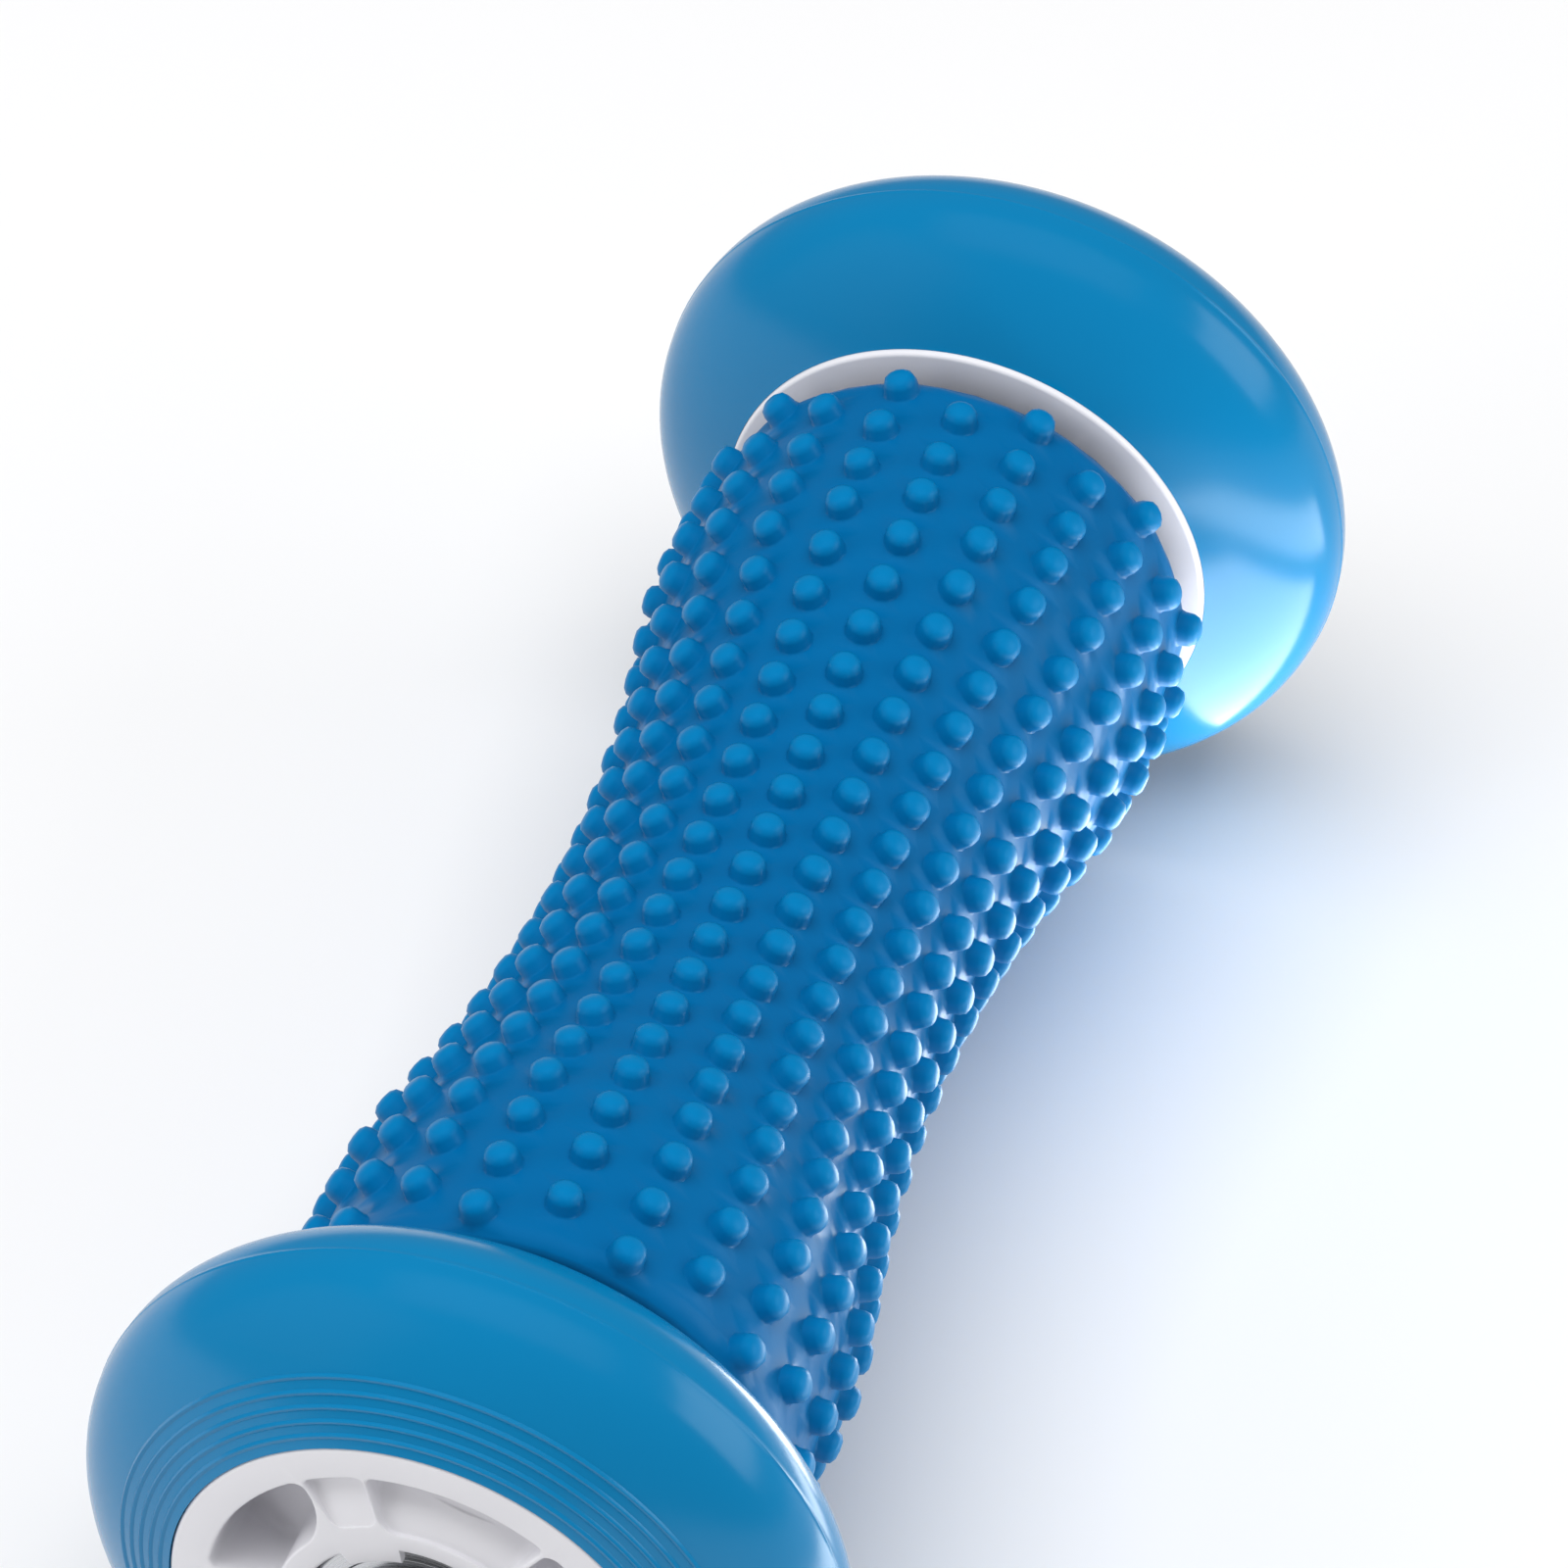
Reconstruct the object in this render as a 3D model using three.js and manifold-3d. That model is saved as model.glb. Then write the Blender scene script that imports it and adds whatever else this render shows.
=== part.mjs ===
// A foot massage roller: a waisted rubber sleeve with rows of nubs turns between two wheels
// on one steel axle. Millimetres, +Z up, the axle along X, the origin on the floor under its middle.

import * as THREE from 'three';
import { mergeVertices } from 'three/addons/utils/BufferGeometryUtils.js';
import Module from 'manifold-3d';

const wasm = await Module();
wasm.setup();

// Running and assembly gaps
const softGap = 0.3;
const fitGap = 0.15;

// Wheels, 72 mm across and 24 mm wide
const wheelRadius = 36;
const wheelHalfWidth = 12.1;
const wheelCentre = 76.2;
const tyreSegments = 36;
const tyreSteps = 6;

// Hub, from the rim inwards
const rimOuter = 23.7;
const innerFaceRim = 25.1;
const rimInner = 20.1;
const anchorRadius = 27;
const anchorHalfWidth = 2.5;
const bossRadius = 13.6;
const hubSegments = 36;
const pocketSegments = 3;
const spokeCount = 3;
const spokeCentreDeg = 113;
const spokeHalfDeg = 9.6;
const deepPocketDeg = 49.6;
const dividerDeg = 1.6;
const deepPocket = 8.5;
const shallowPocket = 3.5;
const lugHalfDeg = 15;
const lugInner = 9.9;
const lugThickness = 0.9;
const cutMargin = 1;

// Ball bearings, 8 x 22 x 7 mm
const axleRadius = 4;
const bearingOuter = 11;
const bearingHalfWidth = 3.5;
const bearingOffset = 7.4;
const innerShoulder = 6.05;
const outerShoulder = 9.1;
const shoulderBore = 9.6;
const ballCircle = 7.5;
const ballRadius = 1.98;
const ballCount = 7;
const ballSegments = 6;
const ballRings = 4;
const grooveRadius = 2.35;
const grooveSteps = 2;
const cageHalfThickness = 0.4;
const cageHalfWidth = 1.2;
const shieldInner = 6.3;
const shieldThickness = 0.3;
const shieldRecess = 0.2;
const ringSegments = 20;

// Axle hardware
const axleHalfLength = 93.2;
const axleChamfer = 0.6;
const axleStandOut = 0.7;
const nutSides = 6;
const nutAcrossFlats = 13;
const nutThickness = 4;
const nutHoleSegments = 10;
const collarRadius = 5.7;

// Massage roller
const rollerHalfLength = 61.3;
const waistRadius = 20.2;
const waistArc = 165;
const waistArcEnd = 37;
const shoulderArc = 43;
const nubHalfHeight = 1.05;
const nubRows = 22;
const nubPitch = 5.5;
const nubsPerSide = 10.5;
const sleeveWall = 3;
const coreWall = 2.6;
const coreHalfLength = 58.6;
const coreStations = [-coreHalfLength, -44, -24, 0, 24, 44, coreHalfLength];
const coreSegments = 20;
const capFace = 61.2;
const capDepth = 6;
const bushRadius = 6.5;
const flangeRadius = 8;
const bushFace = 62;

// Materials
const tyreRubber = new THREE.MeshStandardMaterial({ color: 0x0087c8, roughness: 0.35, metalness: 0 });
const sleeveRubber = new THREE.MeshStandardMaterial({ color: 0x0072b4, roughness: 0.45, metalness: 0 });
const whitePlastic = new THREE.MeshStandardMaterial({ color: 0xe4e4ea, roughness: 0.4, metalness: 0 });
const greyPlastic = new THREE.MeshStandardMaterial({ color: 0x3a4148, roughness: 0.6, metalness: 0 });
const brightSteel = new THREE.MeshStandardMaterial({ color: 0xc4c7cb, roughness: 0.3, metalness: 1 });
const cageSteel = new THREE.MeshStandardMaterial({ color: 0x9fa3a8, roughness: 0.45, metalness: 1 });

// Everything is turned about the Y axis and this group lays Y along the axle, so Y reads as X.
const axleLine = new THREE.Group();
axleLine.rotation.z = -Math.PI / 2;
axleLine.position.z = wheelRadius;

function radians(degrees) {
  return (degrees * Math.PI) / 180;
}

function addPiece(parent, name, geometry, material) {
  const mesh = new THREE.Mesh(geometry, material);
  mesh.name = name;
  parent.add(mesh);
  return mesh;
}

// A [radius, y] outline made to face the given end of the axle.
function facing(outline, outwards) {
  if (outwards > 0) {
    return outline;
  }
  return outline.map(([radius, y]) => [radius, -y]).reverse();
}

// A turned ring whose section is a closed outline of [radius, y] points, outside first and upwards.
function turned(outline, segments) {
  const points = [...outline, outline[0]].map(([radius, y]) => new THREE.Vector2(radius, y));
  return new THREE.LatheGeometry(points, segments);
}

function plainRing(inner, outer, low, high, segments = ringSegments) {
  return turned([[outer, low], [outer, high], [inner, high], [inner, low]], segments);
}

function toSolid(geometry) {
  geometry.deleteAttribute('normal');
  geometry.deleteAttribute('uv');
  const merged = mergeVertices(geometry, 1e-4);
  const vertProperties = new Float32Array(merged.attributes.position.array);
  const triVerts = new Uint32Array(merged.index.array);
  return new wasm.Manifold(new wasm.Mesh({ numProp: 3, vertProperties, triVerts }));
}

function toGeometry(solid) {
  const mesh = solid.getMesh();
  const geometry = new THREE.BufferGeometry();
  geometry.setAttribute('position', new THREE.BufferAttribute(mesh.vertProperties, 3));
  geometry.setIndex(new THREE.BufferAttribute(mesh.triVerts, 1));
  geometry.computeVertexNormals();
  return geometry;
}

// A block bounded by two arcs round the axle, between two heights on Y given in either order.
function sectorBlock(inner, outer, fromDeg, toDeg, oneEnd, otherEnd) {
  const high = Math.max(oneEnd, otherEnd);
  const depth = Math.abs(oneEnd - otherEnd);
  const from = radians(fromDeg);
  const to = radians(toDeg);
  const shape = new THREE.Shape();
  shape.absarc(0, 0, outer, from, to, false);
  shape.absarc(0, 0, inner, to, from, true);
  const options = { depth, bevelEnabled: false, curveSegments: pocketSegments };
  const block = new THREE.ExtrudeGeometry(shape, options);
  block.rotateX(Math.PI / 2);
  block.translate(0, high, 0);
  return toSolid(block);
}

// Tyre: a round-crowned ring that bulges from the hub to the crown, moulded over the anchor ring.
// On the face towards the roller it stops short, where the hub's rim is wider.
function tyreGeometry() {
  const outerBore = rimOuter + softGap;
  const innerBore = innerFaceRim + softGap;
  const crownFall = wheelRadius - outerBore;
  const innerReach = wheelHalfWidth * Math.sqrt((wheelRadius - innerBore) / crownFall);
  const outline = [];
  for (let i = -tyreSteps; i <= tyreSteps; i += 1) {
    const reach = i < 0 ? wheelHalfWidth : innerReach;
    const y = reach * Math.sin((i / tyreSteps) * (Math.PI / 2));
    outline.push([wheelRadius - crownFall * (y / wheelHalfWidth) ** 2, y]);
  }
  const slotRadius = anchorRadius + softGap;
  const slotHalf = anchorHalfWidth + softGap;
  outline.push([innerBore, slotHalf], [slotRadius, slotHalf]);
  outline.push([slotRadius, -slotHalf], [outerBore, -slotHalf]);
  return turned(outline, tyreSegments);
}

// Hub: a turned rim and boss with bearing seats, pockets scooped from both faces, and snap lugs.
function hubGeometry() {
  const face = wheelHalfWidth;
  const seat = bearingOuter + 2 * fitGap;
  const shoulder = bearingOffset - bearingHalfWidth - fitGap;
  let hub = toSolid(turned([
    [rimOuter, -face], [rimOuter, -anchorHalfWidth], [anchorRadius, -anchorHalfWidth],
    [anchorRadius, anchorHalfWidth], [innerFaceRim, anchorHalfWidth], [innerFaceRim, face],
    [seat, face], [seat, shoulder], [shoulderBore, shoulder],
    [shoulderBore, -shoulder], [seat, -shoulder], [seat, -face],
  ], hubSegments));
  const deepStart = spokeCentreDeg + spokeHalfDeg;
  const shallowStart = deepStart + deepPocketDeg + dividerDeg;
  for (let spoke = 0; spoke < spokeCount; spoke += 1) {
    const turn = (spoke * 360) / spokeCount;
    const deepFrom = deepStart + turn;
    const deepTo = deepFrom + deepPocketDeg;
    const shallowFrom = shallowStart + turn;
    const shallowTo = shallowFrom + deepPocketDeg;
    const lugFrom = spokeCentreDeg - lugHalfDeg + turn;
    const lugTo = spokeCentreDeg + lugHalfDeg + turn;
    for (const side of [-1, 1]) {
      const above = side * (face + cutMargin);
      const deepFloor = side * (face - deepPocket);
      const shallowFloor = side * (face - shallowPocket);
      const lugBack = side * (face - lugThickness);
      const lugRoot = seat + cutMargin;
      hub = hub.subtract(sectorBlock(bossRadius, rimInner, deepFrom, deepTo, deepFloor, above));
      hub = hub.subtract(sectorBlock(bossRadius, rimInner, shallowFrom, shallowTo, shallowFloor, above));
      hub = hub.add(sectorBlock(lugInner, lugRoot, lugFrom, lugTo, lugBack, side * face));
    }
  }
  return toGeometry(hub);
}

// Points of a ball groove on a race, from its low edge to its high edge; outward is -1 or 1.
function groove(shoulderRadius, outward) {
  const rise = Math.abs(shoulderRadius - ballCircle);
  const half = Math.acos(rise / grooveRadius);
  const points = [];
  for (let i = 0; i <= grooveSteps; i += 1) {
    const angle = -half + (2 * half * i) / grooveSteps;
    points.push([ballCircle + outward * grooveRadius * Math.cos(angle), grooveRadius * Math.sin(angle)]);
  }
  return points;
}

function innerRaceGeometry() {
  const bore = axleRadius + fitGap;
  const half = bearingHalfWidth;
  const outside = [[innerShoulder, -half], ...groove(innerShoulder, -1), [innerShoulder, half]];
  return turned([...outside, [bore, half], [bore, -half]], ringSegments);
}

function outerRaceGeometry() {
  const half = bearingHalfWidth;
  const inside = [[outerShoulder, half], ...groove(outerShoulder, 1).reverse(), [outerShoulder, -half]];
  return turned([[bearingOuter, -half], [bearingOuter, half], ...inside], ringSegments);
}

// Balls held by their cage, which is one riveted steel band.
function ballSetGeometry() {
  const inner = ballCircle - cageHalfThickness;
  const outer = ballCircle + cageHalfThickness;
  let balls = toSolid(plainRing(inner, outer, -cageHalfWidth, cageHalfWidth, ballCount));
  for (let i = 0; i < ballCount; i += 1) {
    const angle = (2 * Math.PI * i) / ballCount;
    const ball = new THREE.SphereGeometry(ballRadius, ballSegments, ballRings);
    ball.translate(ballCircle * Math.sin(angle), 0, ballCircle * Math.cos(angle));
    balls = balls.add(toSolid(ball));
  }
  return toGeometry(balls);
}

function addBearing(parent, name, y, outwards) {
  const bearing = new THREE.Group();
  bearing.position.y = y;
  parent.add(bearing);
  const shieldFace = outwards * (bearingHalfWidth - shieldRecess);
  const shieldBack = shieldFace - outwards * shieldThickness;
  const shield = plainRing(shieldInner, outerShoulder - fitGap,
    Math.min(shieldFace, shieldBack), Math.max(shieldFace, shieldBack));
  addPiece(bearing, `${name}_inner_race`, innerRaceGeometry(), brightSteel);
  addPiece(bearing, `${name}_outer_race`, outerRaceGeometry(), brightSteel);
  addPiece(bearing, `${name}_ball_set`, ballSetGeometry(), cageSteel);
  addPiece(bearing, `${name}_shield`, shield, cageSteel);
}

// Nut: a plain hexagon with a round hole.
function nutGeometry() {
  const corner = nutAcrossFlats / 2 / Math.cos(Math.PI / nutSides);
  const corners = [];
  for (let i = 0; i < nutSides; i += 1) {
    const angle = (2 * Math.PI * i) / nutSides;
    corners.push(new THREE.Vector2(corner * Math.cos(angle), corner * Math.sin(angle)));
  }
  const shape = new THREE.Shape(corners);
  const hole = new THREE.Path();
  hole.absarc(0, 0, axleRadius + fitGap, 0, 2 * Math.PI, true);
  shape.holes.push(hole);
  const options = { depth: nutThickness, bevelEnabled: false, curveSegments: nutHoleSegments };
  const nut = new THREE.ExtrudeGeometry(shape, options);
  nut.rotateX(Math.PI / 2);
  return nut;
}

// One wheel with its bearings and the hardware that locates it; its outer face looks along -Y.
function addWheel(side, y, turn) {
  const wheel = new THREE.Group();
  wheel.position.y = y;
  wheel.rotation.z = turn;
  axleLine.add(wheel);
  const bore = axleRadius + fitGap;
  const bearingFace = bearingOffset + bearingHalfWidth;
  const spacerHalf = bearingOffset - bearingHalfWidth - fitGap;
  const nutFace = axleHalfLength - wheelCentre - axleStandOut - nutThickness;
  const collarEnd = wheelCentre - bushFace - fitGap;
  addPiece(wheel, `${side}_tyre`, tyreGeometry(), tyreRubber);
  addPiece(wheel, `${side}_hub`, hubGeometry(), whitePlastic);
  addBearing(wheel, `${side}_outer_bearing`, -bearingOffset, -1);
  addBearing(wheel, `${side}_inner_bearing`, bearingOffset, 1);
  const spacer = plainRing(bore, collarRadius, -spacerHalf, spacerHalf);
  addPiece(wheel, `${side}_bearing_spacer`, spacer, brightSteel);
  const washer = plainRing(bore, collarRadius, -nutFace + fitGap, -bearingFace - fitGap);
  addPiece(wheel, `${side}_speed_washer`, washer, brightSteel);
  const collar = plainRing(bore, collarRadius, bearingFace + fitGap, collarEnd);
  addPiece(wheel, `${side}_inner_collar`, collar, brightSteel);
  const nut = addPiece(wheel, `${side}_axle_nut`, nutGeometry(), brightSteel);
  nut.position.y = -nutFace;
}

// Axle: a plain rod with chamfered ends.
function axleGeometry() {
  const shoulder = axleHalfLength - axleChamfer;
  const end = axleRadius - axleChamfer;
  const points = [
    [0, -axleHalfLength], [end, -axleHalfLength], [axleRadius, -shoulder],
    [axleRadius, shoulder], [end, axleHalfLength], [0, axleHalfLength],
  ];
  return new THREE.LatheGeometry(points.map(([radius, y]) => new THREE.Vector2(radius, y)), ringSegments);
}

// Radius of the sleeve halfway up its nubs: a long waist arc, a short reverse arc, then a cylinder.
function sleeveRadius(y) {
  const distance = Math.abs(y);
  const tilt = Math.asin(waistArcEnd / waistArc);
  const cylinderStart = waistArcEnd + shoulderArc * Math.sin(tilt);
  const cylinderRadius = waistRadius + (waistArc + shoulderArc) * (1 - Math.cos(tilt));
  if (distance <= waistArcEnd) {
    return waistRadius + waistArc - Math.sqrt(waistArc ** 2 - distance ** 2);
  }
  if (distance < cylinderStart) {
    const left = cylinderStart - distance;
    return cylinderRadius - shoulderArc + Math.sqrt(shoulderArc ** 2 - left ** 2);
  }
  return cylinderRadius;
}

function sleeveBore(y) {
  return sleeveRadius(y) - nubHalfHeight - sleeveWall;
}

// Sleeve: rows of nubs along the roller, every other row shifted by half the pitch.
function sleeveGeometry() {
  const stations = [-rollerHalfLength];
  for (let k = -2 * nubsPerSide; k <= 2 * nubsPerSide; k += 1) {
    stations.push((k * nubPitch) / 2);
  }
  stations.push(rollerHalfLength);
  const outside = stations.map((y) => [sleeveRadius(y) - nubHalfHeight, y]);
  const boreStations = [rollerHalfLength, ...[...coreStations].reverse(), -rollerHalfLength];
  const inside = boreStations.map((y) => [sleeveBore(y), y]);
  const segments = 2 * nubRows;
  const sleeve = turned([...outside, ...inside], segments);
  const ringSize = outside.length + inside.length + 1;
  const position = sleeve.attributes.position;
  for (let column = 0; column <= segments; column += 2) {
    for (let k = 1; k < stations.length - 1; k += 1) {
      const raised = (column / 2 + k) % 2 === 0;
      if (raised) {
        const index = column * ringSize + k;
        const radius = sleeveRadius(stations[k]) - nubHalfHeight;
        const scale = (radius + 2 * nubHalfHeight) / radius;
        position.setX(index, position.getX(index) * scale);
        position.setZ(index, position.getZ(index) * scale);
      }
    }
  }
  return sleeve;
}

// Core: a hard tube that follows the waist under the rubber.
function coreGeometry() {
  const outside = coreStations.map((y) => [sleeveBore(y) - softGap, y]);
  const inside = outside.map(([radius, y]) => [radius - coreWall, -y]);
  return turned([...outside, ...inside], coreSegments);
}

// End cap: a plug in the mouth of the core with a rim over the core's end and a bored boss.
function capGeometry(outwards) {
  const rim = sleeveBore(rollerHalfLength) - softGap;
  const plug = sleeveBore(coreHalfLength) - 2 * softGap - coreWall;
  const bore = bushRadius + fitGap;
  const step = coreHalfLength + fitGap;
  const back = capFace - capDepth;
  const outline = [[plug, back], [plug, step], [rim, step], [rim, capFace], [bore, capFace], [bore, back]];
  return turned(facing(outline, outwards), coreSegments);
}

// Bush: a flanged sleeve bearing that runs on the axle in the cap's boss.
function bushGeometry(outwards) {
  const bore = axleRadius + fitGap;
  const back = capFace - capDepth;
  const step = capFace + fitGap;
  const outline = [
    [bushRadius, back], [bushRadius, step], [flangeRadius, step],
    [flangeRadius, bushFace], [bore, bushFace], [bore, back],
  ];
  return turned(facing(outline, outwards), ringSegments);
}

function addRoller() {
  addPiece(axleLine, 'massage_sleeve', sleeveGeometry(), sleeveRubber);
  addPiece(axleLine, 'roller_core', coreGeometry(), greyPlastic);
  for (const [side, outwards] of [['left', -1], ['right', 1]]) {
    addPiece(axleLine, `${side}_core_cap`, capGeometry(outwards), greyPlastic);
    addPiece(axleLine, `${side}_roller_bush`, bushGeometry(outwards), whitePlastic);
  }
}

addPiece(axleLine, 'axle_rod', axleGeometry(), brightSteel);
addWheel('left', -wheelCentre, 0);
addWheel('right', wheelCentre, Math.PI);
addRoller();

const footRoller = new THREE.Group();
footRoller.add(axleLine);

export default footRoller;
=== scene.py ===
import math

import bmesh
import bpy
from mathutils import Matrix, Vector


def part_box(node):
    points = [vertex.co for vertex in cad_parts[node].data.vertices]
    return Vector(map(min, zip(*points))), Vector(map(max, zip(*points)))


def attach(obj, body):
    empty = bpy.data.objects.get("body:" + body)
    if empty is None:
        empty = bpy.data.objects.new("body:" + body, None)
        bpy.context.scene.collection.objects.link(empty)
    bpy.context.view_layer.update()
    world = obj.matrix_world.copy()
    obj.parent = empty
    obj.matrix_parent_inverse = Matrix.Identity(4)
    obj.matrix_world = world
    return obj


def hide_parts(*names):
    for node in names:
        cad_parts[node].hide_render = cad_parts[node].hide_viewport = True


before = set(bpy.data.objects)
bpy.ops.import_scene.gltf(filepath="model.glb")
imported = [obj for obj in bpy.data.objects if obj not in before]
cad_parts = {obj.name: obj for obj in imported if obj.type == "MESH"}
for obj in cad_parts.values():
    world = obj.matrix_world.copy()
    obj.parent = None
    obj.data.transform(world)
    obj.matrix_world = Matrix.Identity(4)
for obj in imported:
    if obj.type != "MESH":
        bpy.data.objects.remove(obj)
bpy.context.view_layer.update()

mm = 0.001  # pieces are modelled in millimetres and brought to metres when they are finished


def boxOf(node):
    low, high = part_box(node)
    return low / mm, high / mm


axleLow, axleHigh = boxOf("axle_rod")
axleHeight = (axleLow.z + axleHigh.z) / 2
axleRadius = (axleHigh.z - axleLow.z) / 2


def radiusOf(node):
    return boxOf(node)[1].z - axleHeight


def spanOf(node):
    low, high = boxOf(node)
    return low.x, high.x


def slopeOf(curve, x, step):
    return (curve(x + step) - curve(x - step)) / (2 * step)


# Handling of objects and selections

def useOnly(piece):
    bpy.ops.object.select_all(action="DESELECT")
    piece.select_set(True)
    bpy.context.view_layer.objects.active = piece


def editPiece(piece):
    useOnly(piece)
    bpy.ops.object.mode_set(mode="EDIT")


def leaveEdit():
    bpy.ops.object.mode_set(mode="OBJECT")


def pickVertices(piece, wanted):
    bpy.ops.mesh.select_mode(type="VERT")
    bpy.ops.mesh.select_all(action="DESELECT")
    cage = bmesh.from_edit_mesh(piece.data)
    for vertex in cage.verts:
        vertex.select_set(wanted(vertex.co))
    cage.select_flush(True)
    bmesh.update_edit_mesh(piece.data)


def pickEdges(piece, wanted):
    bpy.ops.mesh.select_mode(type="EDGE")
    bpy.ops.mesh.select_all(action="DESELECT")
    cage = bmesh.from_edit_mesh(piece.data)
    for edge in cage.edges:
        edge.select_set(wanted(edge))
    bmesh.update_edit_mesh(piece.data)


def tidyMesh(distance=0.0005):
    bpy.ops.mesh.select_mode(type="VERT")
    bpy.ops.mesh.select_all(action="SELECT")
    bpy.ops.mesh.remove_doubles(threshold=distance)
    bpy.ops.mesh.normals_make_consistent(inside=False)


def applyModifier(piece, kind, **settings):
    modifier = piece.modifiers.new(kind.title(), kind)
    for setting, value in settings.items():
        setattr(modifier, setting, value)
    useOnly(piece)
    bpy.ops.object.modifier_apply(modifier=modifier.name)


def combine(piece, tool, operation):
    applyModifier(piece, "BOOLEAN", operation=operation, solver="EXACT", object=tool)
    bpy.data.objects.remove(tool)


def joinPieces(pieces, name):
    useOnly(pieces[0])
    for piece in pieces[1:]:
        piece.select_set(True)
    bpy.ops.object.join()
    joined = bpy.context.object
    joined.name = name
    return joined


def copyPiece(piece, name):
    copied = piece.copy()
    copied.data = piece.data.copy()
    copied.name = name
    bpy.context.scene.collection.objects.link(copied)
    return copied


# Each piece gets a mirrored copy for the other face of the wheel

def addMirrored(pieces):
    for front in pieces[:]:
        behind = copyPiece(front, "behind")
        behind.data.transform(Matrix.Scale(-1, 4, (1, 0, 0)))
        editPiece(behind)
        tidyMesh()
        leaveEdit()
        pieces.append(behind)
    return pieces


def finishPiece(piece, name, body, node, material, smoothDegrees=32):
    piece.name = name
    piece.data.name = name
    useOnly(piece)
    piece.scale = (mm, mm, mm)
    bpy.ops.object.transform_apply(location=False, rotation=False, scale=True)
    bpy.ops.object.shade_smooth_by_angle(angle=math.radians(smoothDegrees))
    piece.data.materials.clear()
    piece.data.materials.append(material)
    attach(piece, body)
    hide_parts(node)
    return piece


# Outlines: corners are (x along the axle, radius, rounding)

def roundedOutline(corners, arcSteps=4):
    points = []
    for i, (x, radius, rounding) in enumerate(corners):
        here = Vector((x, radius))
        if rounding == 0:
            points.append(here)
            continue
        before = Vector(corners[i - 1][:2]) - here
        after = Vector(corners[(i + 1) % len(corners)][:2]) - here
        before.normalize()
        after.normalize()
        half = before.angle(after) / 2
        centre = here + (before + after).normalized() * rounding / math.sin(half)
        start = here + before * rounding / math.tan(half) - centre
        end = here + after * rounding / math.tan(half) - centre
        first = math.atan2(start.y, start.x)
        sweep = (math.atan2(end.y, end.x) - first + math.pi) % (2 * math.pi) - math.pi
        for step in range(arcSteps + 1):
            angle = first + sweep * step / arcSteps
            points.append(centre + rounding * Vector((math.cos(angle), math.sin(angle))))
    return points


# A point is extruded along the outline, then the outline is spun about the axle

def turnPiece(outline, steps=96, closed=True):
    first = outline[0]
    bpy.ops.object.select_all(action="DESELECT")
    bpy.ops.mesh.primitive_plane_add(size=1, location=(0, 0, 0))
    piece = bpy.context.object
    editPiece(piece)
    bpy.ops.mesh.select_mode(type="VERT")
    bpy.ops.mesh.select_all(action="SELECT")
    bpy.ops.mesh.merge(type="CENTER")
    bpy.ops.transform.translate(value=(first[0], 0, axleHeight + first[1]))
    path = list(outline[1:]) + ([first] if closed else [])
    for before, after in zip([first] + path, path):
        step = (after[0] - before[0], 0, after[1] - before[1])
        bpy.ops.mesh.extrude_region_move(TRANSFORM_OT_translate={"value": step})
    bpy.ops.mesh.select_all(action="SELECT")
    bpy.ops.mesh.spin(steps=steps, angle=2 * math.pi, center=(0, 0, axleHeight), axis=(1, 0, 0))
    tidyMesh()
    leaveEdit()
    return piece


# Wheels

wheelSides = {"left": -1, "right": 1}
wheel = {
    "halfWidth": (spanOf("left_hub")[1] - spanOf("left_hub")[0]) / 2,
    "radius": radiusOf("left_tyre"),
    "rimRadius": 23.7,
    "innerFaceRim": 25.1,
}


def wheelCentre(side):
    low, high = spanOf(f"{side}_hub")
    return (low + high) / 2


tyre = {
    "fullness": 2.15,  # 2 is a parabola, more is fuller at the crown
    "bore": 23.75,
    "innerFaceBore": 25.15,
    "anchorRadius": 27.08,
    "anchorHalf": 2.6,
    "ribRadii": (29.45, 28.25, 27.1, 25.95, 24.8),  # outer face only
    "ribWidth": 0.3,
    "ribHeight": 0.2,
    "ribCurve": 1.5,  # more makes a rib sharper
    "ribClearance": 1.2,  # plain stations stay this many rib widths away from a rib
    "seamWidth": 0.16,
    "seamHeight": 0.06,
    "samples": 44,
    "slopeStep": 0.05,
    "steps": 144,
}


def crownRadius(offset):
    fall = wheel["radius"] - tyre["bore"]
    return wheel["radius"] - fall * abs(offset / wheel["halfWidth"]) ** tyre["fullness"]


def crownOffset(radius):
    fall = (wheel["radius"] - radius) / (wheel["radius"] - tyre["bore"])
    return wheel["halfWidth"] * fall ** (1 / tyre["fullness"])


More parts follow.
